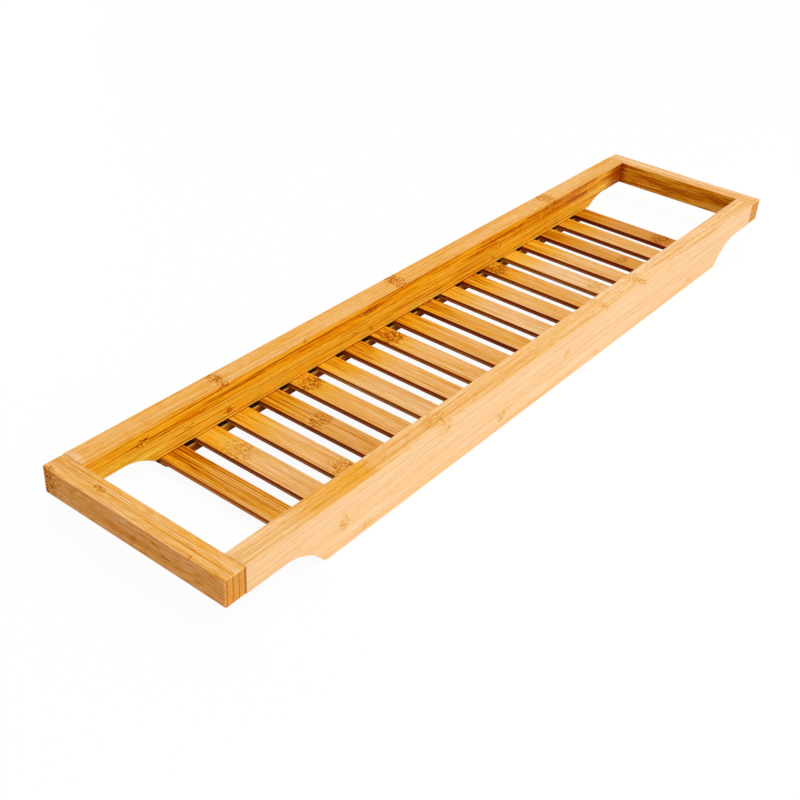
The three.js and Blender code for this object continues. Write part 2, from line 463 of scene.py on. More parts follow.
def build_strips():
    """Glued strips, each with its own tone and stretch of grain, and a thin broken line between them."""
    shade = Group("glued strips", "Place", "Strip Width", "Strip Thickness", "Seed")
    taken = shade.taken
    place = shade.parts(taken["Place"])
    row = shade.math("DIVIDE", place[1], taken["Strip Width"])
    layer = shade.math("DIVIDE", place[2], taken["Strip Thickness"])
    number = shade.point(shade.math("FLOOR", row), shade.math("FLOOR", layer), taken["Seed"])
    draw = shade.add("TexWhiteNoise", {"Vector": number}, noise_dimensions="3D").outputs
    shift = shade.vector("MULTIPLY", draw["Color"], (STRIP_SHIFT,) * 3)
    to_row = shade.times(shade.math("PINGPONG", row, HALF_STRIP), taken["Strip Width"])
    to_layer = shade.times(shade.math("PINGPONG", layer, HALF_STRIP), taken["Strip Thickness"])
    line = shade.spread(shade.math("MINIMUM", to_row, to_layer), GLUE_LINE_EDGE, FALLING)
    seam = shade.spread(shade.noise(taken["Place"], SEAM_SIZE, detail=1), SEAM_RANGE, SEAM_ENDS)
    return shade.give({
        "Own Place": shade.vector("ADD", taken["Place"], shift),
        "Tone": draw["Value"],
        "Glue Line": line,
        "Broken Line": shade.times(line, seam),
        "Through": shade.math("FRACT", layer),
    })


BAND_SIZE = mark_size(190, 8)
STREAK_SIZE = mark_size(70, 2.6)
THREAD_SIZE = mark_size(45, 1.2)
LINE_SIZE = mark_size(110, 1.5)
LINE_RANGE = (0.52, 0.62)
TICK_SIZE = mark_size(9, 0.9)
TICK_RANGE = (0.48, 0.62)


def build_fibres():
    """Soft bands, streaks and threads of tone, thin dark lines and short dark ticks along the grain."""
    shade = Group("bamboo fibres", "Place")
    place = shade.taken["Place"]
    return shade.give({
        "Bands": shade.noise(place, BAND_SIZE, detail=1),
        "Streaks": shade.noise(place, STREAK_SIZE),
        "Threads": shade.noise(place, THREAD_SIZE),
        "Lines": shade.spread(shade.noise(place, LINE_SIZE), LINE_RANGE),
        "Ticks": shade.spread(shade.noise(place, TICK_SIZE, roughness=0.6), TICK_RANGE),
    })


# A knot fades between these shares of its reach
KNOT_FADE_SHARES = (0.3, 1.1)


def build_knot_place():
    """Where a knot lies: its strength in the middle, 0 at its reach, joined with the knots before it."""
    shade = Group("knot place", "Place", "Middle", "Reach", "Strength", "Before")
    taken = shade.taken
    distance = shade.distance(taken["Place"], taken["Middle"], taken["Reach"])
    knot = shade.times(shade.spread(distance, KNOT_FADE_SHARES, FALLING), taken["Strength"])
    return shade.give({"Knots": shade.math("MAXIMUM", taken["Before"], knot)})


SWIRL_SIZE = mark_size(12, 7)
SWIRL_REACH = mark_size(2, 4)
KNOT_TICK_SIZE = mark_size(4, 0.9)
KNOT_STROKE_SIZE = mark_size(2.3, 1.1)

# Marks crowd from the first of these at a knot's rim to the second in its middle
KNOT_CROWDING = (-0.08, 0.02)
STROKE_RANGE = (0.46, 0.6)
PALE_SPOT_RANGE = (0.44, 0.34)

# The strengths of a knot between which strokes cross the grain, and between which each mark comes in
KNOT_CORE = (0.55, 0.95)
STROKES_START = (0.1, 0.95)
PALE_SPOTS_START = (0.1, 0.8)


def build_knot_figure():
    """The figure in a knot: swirling fibres and ticks, with strokes across the grain in its middle."""
    shade = Group("knot figure", "Place", "Knots")
    place, knots = shade.taken["Place"], shade.taken["Knots"]
    swirl = shade.sway(place, SWIRL_SIZE, SWIRL_REACH)
    swirl = shade.add("VectorMath", {0: swirl, "Scale": knots}, operation="SCALE").outputs[0]
    swirled = shade.vector("ADD", place, swirl)
    ticks = shade.noise(swirled, KNOT_TICK_SIZE, detail=1)
    across = shade.noise(swirled, KNOT_STROKE_SIZE)
    figure = shade.blend(shade.spread(knots, KNOT_CORE), ticks, across)
    figure = shade.sum(figure, shade.between(knots, *KNOT_CROWDING))
    strokes = shade.times(shade.spread(figure, STROKE_RANGE), shade.spread(knots, STROKES_START))
    pale_spots = shade.times(shade.spread(figure, PALE_SPOT_RANGE), shade.spread(knots, PALE_SPOTS_START))
    return shade.give({"Swirled Place": swirled, "Strokes": strokes, "Pale Spots": pale_spots})


DOT_SPACING = 0.8 * MM
STRIP_SIDES = (0, 1)
DOT_REACH_SHARES = (0.45, 0.2)
DOT_EDGE = (-0.1, 0.1)


def build_end_grain():
    """The cut ends of the fibres: dark dots, crowded towards the outer side of each strip."""
    shade = Group("end grain", "Place", "Through")
    flat = shade.vector("MULTIPLY", shade.taken["Place"], (0, 1 / DOT_SPACING, 1 / DOT_SPACING))
    cells = shade.add("TexVoronoi", {"Vector": flat, "Scale": 1}).outputs["Distance"]
    reach = shade.spread(shade.taken["Through"], STRIP_SIDES, DOT_REACH_SHARES)
    return shade.give({"Dots": shade.spread(shade.minus(cells, reach), DOT_EDGE, FALLING)})


DRIED_GLUE_FADE_SHARES = (0.4, 1)
DRIED_GLUE_SIZE = mark_size(4, 4)
DRIED_GLUE_RANGE = (0.3, 0.6)


def build_dried_glue():
    """A smear of dried glue round a point: a patchy, milky film."""
    shade = Group("dried glue", "Place", "Middle", "Reach")
    taken = shade.taken
    distance = shade.distance(taken["Place"], taken["Middle"], taken["Reach"])
    patches = shade.noise(taken["Place"], DRIED_GLUE_SIZE, detail=3)
    smear = shade.spread(distance, DRIED_GLUE_FADE_SHARES, FALLING)
    return shade.give({"Film": shade.times(smear, shade.spread(patches, DRIED_GLUE_RANGE))})


# Tones of bamboo, from the pale outer wall to the deep amber inner wall
# The outer wall's paleness is partly a painted highlight, the inner wall's amber partly painted bounce
# light
BAMBOO_TONES = (
    (0.0, colour(254, 220, 176)),
    (0.2, colour(248, 204, 150)),
    (0.4, colour(243, 189, 116)),
    (0.57, colour(240, 177, 88)),
    (0.75, colour(241, 169, 36)),
    (0.85, colour(237, 157, 14)),
    (0.93, colour(222, 130, 6)),
    (1.0, colour(190, 98, 4)),
)
PALE_SPOT_COLOUR = colour(255, 222, 156)
END_GRAIN_COLOUR = colour(228, 156, 64)
GLUE_COLOUR = colour(248, 214, 176)

# What darkens the wood lets this share of each colour through
LINE_FILTER = (0.76, 0.55, 0.25, 1)
KNOT_FILTER = (0.98, 0.88, 0.57, 1)
STROKE_FILTER = (0.55, 0.33, 0.06, 1)
STAIN_AND_SHADE_FILTER = (0.55, 0.25, 0, 1)

# How far grain parts move the tone, how far marks toast it, how far wear and a painted highlight pale an
# arris
BAND_SWING = 0.45
STREAK_SWING = 0.6
THREAD_SWING = 1.1
TOAST = 0.28
ARRIS_WEAR_AND_HIGHLIGHT = 0.08

# How strongly the knots' strokes and spots, the end grain's dots and dried glue cover the wood
STROKE_COVER = 0.88
PALE_SPOT_COVER = 0.85
DOT_COVER = 0.6
GLUE_COVER = 0.5

# The finish is rougher in hollows and smoother on glue, and a seam is a shallow hollow
ROUGHNESS = 0.42
HOLLOW_ROUGHNESS = 0.15
GLUE_SMOOTHNESS = 0.12
SEAM_DEPTH = 0.6
HOLLOW_DEPTH = 0.6


def build_bamboo(strips, fibres, knot_figure, end_grain):
    """Laminated bamboo under a satin finish: colour, roughness and height."""
    shade = Group(
        "laminated bamboo",
        "Place", "Tone", "Knots", "Arris", "End Grain", "Strip Width", "Strip Thickness", "Seed",
        "Strip Contrast", "Grain Contrast", "Seam Strength", "Line Strength", "Tick Strength",
        "Tint", "Stain And Shade", "Glue",
    )
    taken = shade.taken
    strip_inputs = ("Place", "Strip Width", "Strip Thickness", "Seed")
    strip = shade.group(strips, {name: taken[name] for name in strip_inputs})
    knot = shade.group(knot_figure, {"Place": strip["Own Place"], "Knots": taken["Knots"]})
    fibre = shade.group(fibres, {"Place": knot["Swirled Place"]})
    dots = shade.group(end_grain, {"Place": strip["Own Place"], "Through": strip["Through"]})["Dots"]

    def swing(value, reach):
        return shade.times(shade.minus(value, NOISE_MIDDLE), reach)

    lines = shade.times(fibre["Lines"], taken["Line Strength"])
    ticks = shade.times(fibre["Ticks"], taken["Tick Strength"])
    seams = shade.times(strip["Broken Line"], taken["Seam Strength"])
    strokes = shade.times(knot["Strokes"], STROKE_COVER)
    grain = shade.sum(
        swing(fibre["Bands"], BAND_SWING),
        swing(fibre["Streaks"], STREAK_SWING),
        swing(fibre["Threads"], THREAD_SWING),
    )
    tone = shade.sum(
        taken["Tone"],
        swing(strip["Tone"], taken["Strip Contrast"]),
        shade.times(grain, taken["Grain Contrast"]),
        # An arris is paler: wear, and a painted highlight
        shade.times(taken["Arris"], -ARRIS_WEAR_AND_HIGHLIGHT),
        shade.times(shade.sum(lines, ticks, seams, strokes), TOAST),
    )
    wood = shade.ramp(tone, BAMBOO_TONES)
    wood = shade.blend(shade.times(knot["Pale Spots"], PALE_SPOT_COVER), wood, PALE_SPOT_COLOUR)
    wood = shade.darken(taken["Knots"], wood, KNOT_FILTER)
    wood = shade.darken(lines, wood, LINE_FILTER)
    wood = shade.darken(ticks, wood, LINE_FILTER)
    wood = shade.darken(seams, wood, STROKE_FILTER)
    wood = shade.darken(strokes, wood, STROKE_FILTER)
    wood = shade.darken(1, wood, taken["Tint"])
    ends = shade.darken(shade.times(dots, DOT_COVER), END_GRAIN_COLOUR, STROKE_FILTER)
    ends = shade.darken(strip["Glue Line"], ends, STROKE_FILTER)
    wood = shade.blend(taken["End Grain"], wood, ends)
    wood = shade.blend(shade.times(taken["Glue"], GLUE_COVER), wood, GLUE_COLOUR)
    # Stains and painted shade darken the wood, and a second time where they pass 1
    wood = shade.darken(taken["Stain And Shade"], wood, STAIN_AND_SHADE_FILTER)
    second_darkening = shade.minus(taken["Stain And Shade"], 1)
    wood = shade.darken(second_darkening, wood, STAIN_AND_SHADE_FILTER)
    hollows = shade.sum(lines, ticks, strokes, shade.times(seams, SEAM_DEPTH))
    rough = shade.math("MULTIPLY_ADD", hollows, HOLLOW_ROUGHNESS, ROUGHNESS)
    rough = shade.math("MULTIPLY_ADD", taken["Glue"], -GLUE_SMOOTHNESS, rough)
    height = shade.sum(fibre["Threads"], shade.times(hollows, -HOLLOW_DEPTH), taken["Glue"])
    return shade.give({"Color": wood, "Roughness": rough, "Height": height})


KNOT_PLACE = build_knot_place()
DRIED_GLUE = build_dried_glue()
FIBRES = build_fibres()
BAMBOO = build_bamboo(build_strips(), FIBRES, build_knot_figure(), build_end_grain())


# Finishes

BUMP_DISTANCE = 0.08 * MM
BUMP_STRENGTH = 0.6
SATIN_SPECULAR = 0.05
ALONG_X = (1, 0, 0)
ALONG_Y = (0, 1, 0)
END_FACE_EDGE = (0.75, 0.95)
KNOT_RIM_SIZE = mark_size(6, 6)
KNOT_RIM_REACH = mark_size(6, 6)
NO_TINT = (1, 1, 1, 1)

# The smear of dried glue at the back left joint
GLUE_MIDDLE = Vector((-331, 69, 40)) * MM
GLUE_REACH = Vector((4, 11, 3)) * MM


def new_material(name):
    material = bpy.data.materials.new(name)
    material.use_nodes = True
    return material, Shade(material.node_tree), material.node_tree.nodes["Principled BSDF"]


def cover(surface, shade, tint, roughness, height):
    """Gives a surface its colour, its roughness and its bumps."""
    bump_inputs = {"Strength": BUMP_STRENGTH, "Distance": BUMP_DISTANCE, "Height": height}
    shade.feed(tint, surface.inputs["Base Color"])
    shade.feed(roughness, surface.inputs["Roughness"])
    shade.feed(shade.add("Bump", bump_inputs).outputs["Normal"], surface.inputs["Normal"])


def find_knots(shade, place, knots):
    """Joins the places of all the knots, with ragged rims."""
    ragged_place = shade.vector("ADD", place, shade.sway(place, KNOT_RIM_SIZE, KNOT_RIM_REACH))
    found = 0
    for middle, reach, strength in knots:
        inputs = {
            "Place": ragged_place,
            "Middle": Vector(middle) * MM,
            "Reach": Vector(reach) * MM,
            "Strength": strength,
            "Before": found,
        }
        found = shade.group(KNOT_PLACE, inputs)["Knots"]
    return found


def find_dried_glue(shade, place):
    inputs = {"Place": place, "Middle": GLUE_MIDDLE, "Reach": GLUE_REACH}
    return shade.group(DRIED_GLUE, inputs)["Film"]


def bamboo_finish(name, grain_axis, describe, knots):
    """A bamboo material. describe gives the laminated bamboo the rest of its inputs, from the place and
    from the share that is 1 on the piece's end faces.
    """
    material, shade, surface = new_material(name)
    coordinates = shade.add("TexCoord").outputs
    place = coordinates["Object"]
    normal_and_axis = {0: coordinates["Normal"], 1: grain_axis}
    along = shade.add("VectorMath", normal_and_axis, operation="DOT_PRODUCT").outputs["Value"]
    end_face = shade.spread(shade.math("ABSOLUTE", along), END_FACE_EDGE)
    inputs = {
        "Knots": find_knots(shade, place, knots),
        "Arris": shade.add("Attribute", attribute_name="arris").outputs["Fac"],
        "End Grain": end_face,
    }
    inputs.update(describe(shade, place, end_face))
    wood = shade.group(BAMBOO, inputs)
    cover(surface, shade, wood["Color"], wood["Roughness"], wood["Height"])
    surface.inputs["Specular IOR Level"].default_value = SATIN_SPECULAR
    return material


def marks_by_wall(shade, outer_wall, inner_wall, marks):
    """Each mark's strength over a piece, from its strengths on top, on the outer and on the inner wall."""
    strengths = {}
    for name, (on_top, on_outer, on_inner) in marks.items():
        strengths[name] = shade.sum(
            on_top,
            shade.times(outer_wall, on_outer - on_top),
            shade.times(inner_wall, on_inner - on_top),
        )
    return strengths


# A rail is glued from flat strips laid on each other, each of them wider than the rail is thick and
# shifted so that its sides fall outside
LAYER = 6.8 * MM
LAYER_COUNT = 6
FIRST_LAYER_CUT = 1 * MM
LAST_LAYER_CUT = 0.5 * MM
RAIL_STRIP_WIDTH = 40 * MM
ACROSS_SHIFT = 10 * MM

# Tones along each face of a rail, as shares of its length from the left end, and down its inner wall
FRONT_TOP_SHARES = (
    (0, 0.32), (0.05, 0.35), (0.1, 0.56), (0.165, 0.63), (0.18, 0.43), (0.24, 0.35), (0.3, 0.36),
    (0.5, 0.35), (0.59, 0.32), (0.61, 0.26), (0.69, 0.28), (0.72, 0.19), (1, 0.28),
)
BACK_TOP_SHARES = (
    (0, 0.48), (0.16, 0.54), (0.19, 0.44), (0.47, 0.48), (0.5, 0.52), (0.7, 0.46), (0.84, 0.4),
    (1, 0.5),
)
# The outer wall's pale tone is in part a painted highlight of the front light
OUTER_SHARES = ((0, 0.2), (0.1, 0.16), (0.5, 0.16), (1, 0.18))
# The inner wall deepens in the middle, away from the ends: painted warm bounce light from the slats
INNER_SHARES = (
    (0, 0.5), (0.06, 0.56), (0.14, 0.68), (0.5, 0.73), (0.8, 0.82), (0.88, 0.77), (0.94, 0.66),
    (1, 0.66),
)
INNER_LAYER_SHARES = ((0, 0.53), (0.17, 0.57), (0.34, 0.31), (0.5, 0.36), (0.67, 0.3), (0.84, 0.33))
EVEN_LAYER_SHARE = 0.5

# Where the walls of a rail begin: inwards from its outer face, and down from its top
OUTER_WALL_EDGE = (0.1 * MM, 0.9 * MM)
INNER_WALL_EDGE = (RAIL_THICKNESS - 0.7 * MM, RAIL_THICKNESS - 0.1 * MM)
INNER_WALL_TOP = (RAIL_TOP - 2.4 * MM, RAIL_TOP - 0.2 * MM)

# The rims of a rail's top, and the dark line beside its outer rim, which is worn faint in places
RIM_EDGE = (RAIL_THICKNESS / 2 - 4 * MM, RAIL_THICKNESS / 2 - 1.5 * MM)
TOP_LINE_DEPTH = 1.6 * MM
TOP_LINE_EDGE = (0.4 * MM, 0.9 * MM)
WEAR_SIZE = mark_size(50, 50)
WEAR_RANGE = (0.38, 0.6)
FAINT_LINE_SHARE = 0.4

# The foot of the outer wall is a little more toasted
FOOT_EDGE = (2 * MM, 8 * MM)
FOOT_TONES = (0.1, 0)

# Painted shade in the groove, and in patches on the lip below it, lifted at the lip's lit top edge
GROOVE_MARGIN = 0.1 * MM
GROOVE_MOUTH_EDGE = (RAIL_THICKNESS - 1.6 * MM, RAIL_THICKNESS - 0.4 * MM)
LIP_EDGE = (GROOVE_FLOOR - 0.9 * MM, GROOVE_FLOOR - 0.3 * MM)
LIP_EDGE_SHADE_LIFT = 1.6
LIP_SHADE_PATCH_SIZE = (14 * MM, 3 * MM, 1.6 * MM)
LIP_SHADE_PATCH_RANGE = (0.4, 0.6)
LIP_SHADES = (0.8, 1.8)

# The inner wall darkens towards the right corner: painted shade where it meets the end bar
RAIL_CORNER_SHADE_EDGE = (298 * MM, 330 * MM)
RAIL_CORNER_SHADES = (0, 1.4)

# The inner wall's warm tint is painted bounce light, and the groove's near-black tint painted shade
INNER_BOUNCE_TINT = (1.07, 1.1, 0.27, 1)
OUTER_TINT = (0.98, 0.965, 0.975, 1)
GROOVE_SHADE_TINT = (0.07, 0.025, 0.01, 1)

# Strengths on a rail's top, on its outer wall and on its inner wall
RAIL_MARKS = {
    "Strip Contrast": (0, 0.06, 0.06),
    "Grain Contrast": (0.6, 0.3, 0.9),
    "Seam Strength": (0, 0.2, 0.5),
    "Line Strength": (0.35, 0.1, 0.75),
    "Tick Strength": (0.3, 0.1, 0.3),
}


def tone_rail_top(shade, place, deep, rim_tone, line_tone):
    """What the rims and the dark line add to the tone of a rail's top."""
    off_middle = shade.math("ABSOLUTE", shade.minus(deep, RAIL_THICKNESS / 2))
    off_line = shade.math("ABSOLUTE", shade.minus(deep, TOP_LINE_DEPTH))
    wear = shade.noise(place, WEAR_SIZE, detail=1)
    wear = shade.spread(wear, WEAR_RANGE, (FAINT_LINE_SHARE * line_tone, line_tone))
    line = shade.times(shade.spread(off_line, TOP_LINE_EDGE, FALLING), wear)
    return shade.sum(shade.spread(off_middle, RIM_EDGE, (0, rim_tone)), line)


def find_groove(shade, deep, z):
    """1 inside the groove and 0 outside it, with a soft edge at its mouth."""
    return shade.times(
        shade.math("LESS_THAN", z, GROOVE_ROOF + GROOVE_MARGIN),
        shade.math("GREATER_THAN", z, GROOVE_FLOOR - GROOVE_MARGIN),
        shade.math("GREATER_THAN", deep, RAIL_THICKNESS - GROOVE_DEPTH - GROOVE_MARGIN),
        shade.spread(deep, GROOVE_MOUTH_EDGE, FALLING),
    )


def paint_rail_shade(shade, place, inner_wall):
    """The painted shade on a rail's inner wall: towards its right corner and on the lip below the groove.
    """
    x, _, z = shade.parts(place)
    # The inner wall darkens towards its right corner: painted shade
    corner = shade.times(inner_wall, shade.spread(x, RAIL_CORNER_SHADE_EDGE, RAIL_CORNER_SHADES))
    # The lip below the groove darkens in patches, painted shade under the slats, lifted at its lit top
    # edge
    lip = shade.times(inner_wall, shade.math("LESS_THAN", z, GROOVE_FLOOR + GROOVE_MARGIN))
    patches = shade.noise(place, LIP_SHADE_PATCH_SIZE, detail=1)
    patches = shade.spread(patches, LIP_SHADE_PATCH_RANGE, LIP_SHADES)
    lip_shade = shade.math("MULTIPLY_ADD", shade.spread(z, LIP_EDGE), -LIP_EDGE_SHADE_LIFT, patches)
    return shade.math("MULTIPLY_ADD", lip, lip_shade, corner)


def describe_rail(side, seed, top_shares, rim_tone, line_tone):
    """A rail: pale on its outer wall, golden on top, amber on its inner wall and dark in the groove."""
    # The pale outer wall is partly painted highlight, the amber inner wall partly painted bounce light
    def describe(shade, place, _end_face):
        x, y, z = shade.parts(place)
        share = shade.math("MULTIPLY_ADD", x, 0.5 / RAIL_HALF_LENGTH, 0.5)
        deep = shade.math("MULTIPLY_ADD", y, -side, RAIL_OUTER)
        down = shade.minus(RAIL_TOP + FIRST_LAYER_CUT, z)
        down = shade.math("MINIMUM", down, LAYER_COUNT * LAYER - LAST_LAYER_CUT)
        layer = shade.math("DIVIDE", down, LAYER_COUNT * LAYER)
        layer_tone = shade.follow(layer, INNER_LAYER_SHARES, "CONSTANT")
        layer_tone = shade.minus(layer_tone, EVEN_LAYER_SHARE)
        outer_wall = shade.spread(deep, OUTER_WALL_EDGE, FALLING)
        inner_wall = shade.spread(deep, INNER_WALL_EDGE)
        inner_wall = shade.times(inner_wall, shade.spread(z, INNER_WALL_TOP, FALLING))
        top_marks = tone_rail_top(shade, place, deep, rim_tone, line_tone)
        top = shade.sum(shade.follow(share, top_shares), top_marks)
        outer = shade.sum(shade.follow(share, OUTER_SHARES), shade.spread(z, FOOT_EDGE, FOOT_TONES))
        inner = shade.sum(shade.follow(share, INNER_SHARES), layer_tone)
        tint = shade.blend(outer_wall, NO_TINT, OUTER_TINT)
        tint = shade.blend(inner_wall, tint, INNER_BOUNCE_TINT)
        return {
            "Place": shade.point(x, shade.sum(deep, ACROSS_SHIFT), down),
            "Tone": shade.sum(
                top,
                shade.times(outer_wall, shade.minus(outer, top)),
                shade.times(inner_wall, shade.minus(inner, top)),
            ),
            "Strip Width": RAIL_STRIP_WIDTH,
            "Strip Thickness": LAYER,
            "Seed": seed,
            # The groove's near-black tint is painted shade
            "Tint": shade.blend(find_groove(shade, deep, z), tint, GROOVE_SHADE_TINT),
            # Painted shade on the inner wall's lip and right corner
            "Stain And Shade": paint_rail_shade(shade, place, inner_wall),
            "Glue": find_dried_glue(shade, place),
            **marks_by_wall(shade, outer_wall, inner_wall, RAIL_MARKS),
        }
    return describe


# An end bar is glued from upright strips, three whole ones with a thin one at each side
BAR_STRIP = 4.5 * MM
FIRST_BAR_STRIP = 1.6 * MM
BAR_STRIP_WIDTH = 30 * MM
BAR_STRIP_FOOT = BAR_LOW.z - (BAR_STRIP_WIDTH - BAR_HIGH.z + BAR_LOW.z) / 2

# Where its walls begin: inwards from its outer face, and down from its top
BAR_THICKNESS = -BAR_LOW.x + BAR_HIGH.x
BAR_OUTER_EDGE = (0.3 * MM, 1.2 * MM)
BAR_OUTER_TOP = (BAR_HIGH.z - 1.9 * MM, BAR_HIGH.z - 0.9 * MM)
BAR_INNER_EDGE = (BAR_THICKNESS - 0.4 * MM, BAR_THICKNESS - 0.1 * MM)

# What its outer wall, and the arris above it, add to the tone
BAR_OUTER_TONE = 0.08
BAR_ARRIS_TONE = 0.12

# The dark stains at its joints, and painted shade in the back corner of its inner wall
BAR_JOINT_EDGE = (BAR_THICKNESS - 1.4 * MM, BAR_THICKNESS - 0.3 * MM)
BAR_JOINT_STAIN = 0.7
BAR_CORNER_SHADE_EDGE = (52 * MM, 60 * MM)
BAR_CORNER_SHADES = (0, 0.9)

BAR_OUTER_TINT = (1.11, 1.0, 1.08, 1)

# Strengths on an end bar's top, on its outer wall and on its inner wall
BAR_MARKS = {
    "Strip Contrast": (0.14, 0.08, 0.14),
    "Grain Contrast": (1.05, 0.55, 1.05),
    "Seam Strength": (0.45, 0.45, 0.45),
    "Line Strength": (0.5, 0.6, 0.5),
    "Tick Strength": (0.4, 0.7, 0.4),
}


def describe_bar(end, seed, top_tone, inner_bounce_tone):
    """An end bar, with dense ticks on its outer wall and dark stains at its joints."""
    def describe(shade, place, end_face):
        x, y, z = shade.parts(place)
        from_outer = shade.math("MULTIPLY_ADD", x, -end, -BAR_LOW.x)
        outer_side = shade.spread(from_outer, BAR_OUTER_EDGE, FALLING)
        outer_wall = shade.times(outer_side, shade.spread(z, BAR_OUTER_TOP, FALLING))
        outer_arris = shade.minus(outer_side, outer_wall)
        inner_wall = shade.spread(from_outer, BAR_INNER_EDGE)
        # The back corner of the inner wall darkens: painted shade
        corner = shade.times(inner_wall, shade.spread(y, BAR_CORNER_SHADE_EDGE, BAR_CORNER_SHADES))
        joint = shade.times(shade.spread(from_outer, BAR_JOINT_EDGE), end_face)
        up = shade.minus(z, BAR_STRIP_FOOT)
        deep = shade.sum(from_outer, BAR_STRIP - FIRST_BAR_STRIP)
        return {
            "Place": shade.point(y, up, deep),
            "Tone": shade.sum(
                top_tone,
                shade.times(outer_wall, BAR_OUTER_TONE),
                shade.times(outer_arris, BAR_ARRIS_TONE),
                # The inner wall's deeper amber is in part painted bounce light and shade
                shade.times(inner_wall, inner_bounce_tone - top_tone),
            ),
            "Strip Width": BAR_STRIP_WIDTH,
            "Strip Thickness": BAR_STRIP,
            "Seed": seed,
            "Tint": shade.blend(outer_side, NO_TINT, BAR_OUTER_TINT),
            # Dark stains at the joints, and the painted shade in the back corner
            "Stain And Shade": shade.math("MULTIPLY_ADD", joint, BAR_JOINT_STAIN, corner),
            "Glue": find_dried_glue(shade, place),
            **marks_by_wall(shade, outer_wall, inner_wall, BAR_MARKS),
        }
    return describe


# Of each slat, from the left one to the right one: its tone in front, its tone at the back with painted
# shade and bounce light, its sides' painted shade, how much of a lined, edge-glued face it shows, and how
# brown it is
SLAT_TONE_SHARES = (
    0.6, 0.39, 0.41, 0.48, 0.46, 0.3, 0.43, 0.43, 0.46,
    0.56, 0.27, 0.43, 0.48, 0.2, 0.34, 0.5, 0.42, 0.53,
)
SLAT_FAR_SHADE_TONE_SHARES = (
    0.86, 0.66, 0.73, 0.76, 0.74, 0.77, 0.87, 0.91, 0.9,
    0.8, 0.66, 0.85, 0.82, 0.65, 0.72, 0.84, 0.77, 0.88,
)
SLAT_SIDE_SHADE_SHARES = (
    0.6, 1.0, 1.0, 1.0, 1.0, 0.7, 1.0, 0.85, 1.0,
    1.6, 1.0, 1.1, 1.0, 0.8, 1.1, 1.6, 1.3, 1.7,
)
SLAT_LINE_SHARES = (
    1.0, 0.2, 0.1, 0.7, 0.15, 0.3, 0.2, 0.3, 0.25,
    0.3, 0.15, 0.3, 0.2, 0.2, 0.15, 0.25, 0.15, 0.2,
)
SLAT_BROWN_SHARES = (
    0.05, 0, 0, 0.3, 0.1, 0, 0, 0, 0.05,
    0.1, 0, 0.05, 0.1, 0, 0, 0.6, 0.1, 0.9,
)
SLAT_BROWN_TINT = (0.82, 0.7, 0.56, 1)

# Towards the back each slat turns deeper and more golden: painted shade and warm bounce light
SLAT_FAR_SHADE_EDGE = (12 * MM, 61 * MM)
SLAT_FAR_BOUNCE_TINT = (1.0, 1.12, 0.45, 1)

# The narrow strips start a little outside each slat, and each slat is lifted to a layer of its own
SLAT_SEED = 5
SLAT_STRIP_WIDTH = 2.1 * MM
SLAT_STRIP_START = 0.6 * MM
SLAT_THICKNESS_STRIP = 8 * MM
SLAT_LIFT = 5 * MM
SLAT_FIELD_START = SLAT_LOW.x - (SLAT_PITCH - SLAT_HIGH.x + SLAT_LOW.x) / 2
SLAT_HALF_WIDTH = (SLAT_HIGH.x - SLAT_LOW.x) / 2

# The sides' painted shade, darkest in patches and just below the top, and the painted contact shadow at
# the rails
SLAT_SIDE_EDGE = (SLAT_HALF_WIDTH - 0.4 * MM, SLAT_HALF_WIDTH - 0.1 * MM)
SLAT_SIDE_SHADE_TOP = (8.6 * MM, 9.4 * MM)
SLAT_SHADE_PATCH_SIZE = mark_size(40, 40)
SLAT_SHADE_PATCH_RANGE = (0.35, 0.6)
SLAT_SIDE_SHADES = (0.6, 0.9)
SLAT_CONTACT_SHADOW_EDGE = (RAIL_INNER - 0.8 * MM, RAIL_INNER - 0.2 * MM)

# Strengths of the slats' marks: in front and at the back, or on a plain face and on a lined one
SLAT_GRAIN_CONTRASTS = (0.9, 1.3)
SLAT_LINE_STRENGTHS = (0.35, 0.6)
SLAT_STRIP_CONTRAST = 0.08
SLAT_SEAM_STRENGTH = 0.7
SLAT_TICK_STRENGTH = 0.26


